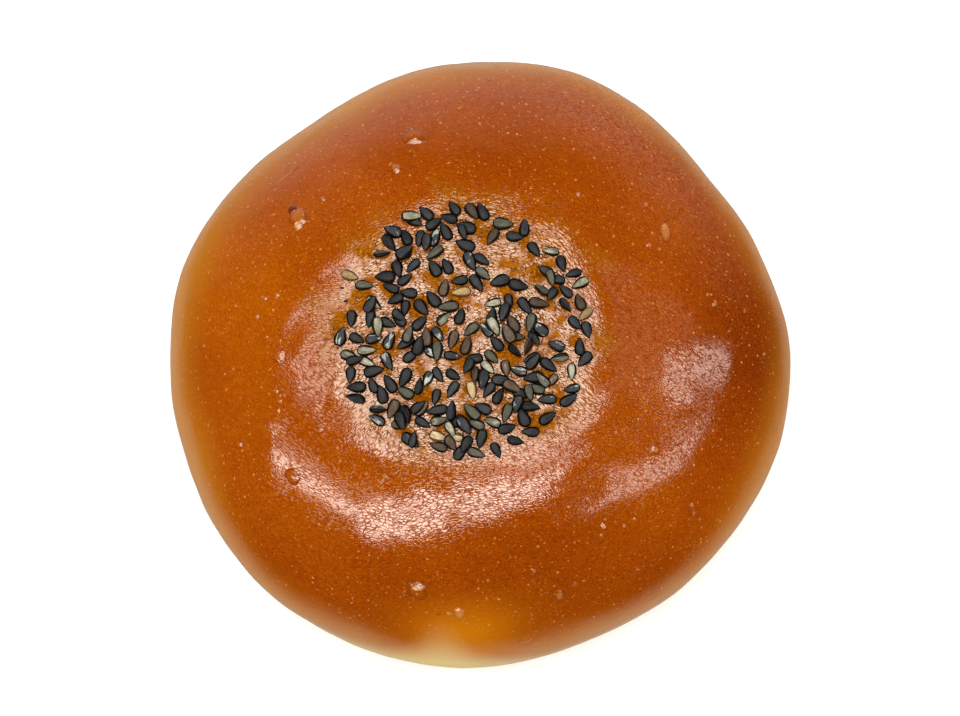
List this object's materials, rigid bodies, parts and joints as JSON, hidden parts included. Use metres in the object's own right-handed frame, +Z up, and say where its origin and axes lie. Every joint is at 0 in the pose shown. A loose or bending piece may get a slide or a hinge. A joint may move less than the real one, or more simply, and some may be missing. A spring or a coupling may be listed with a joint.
{
  "type": "red bean bun",
  "caption": "Round sweet bun with a flat base, a glossy browned dome and a round patch of black sesame seeds pressed onto its crown.",
  "frame": {"origin": "on the flat base, under the middle of the bun's box", "axes": "+Z up from the base to the crown, -Y towards the front, where the crust is palest at its foot, and +X to the right"},
  "size_m": [0.1, 0.0984, 0.0423],
  "materials": {
    "crust": "browned bread crust under an egg glaze, satin gloss",
    "sesame": "dry sesame seed coat, low satin sheen"
  },
  "bodies": {
    "root": {"bun": "crust"}
  },
  "joints": []
}
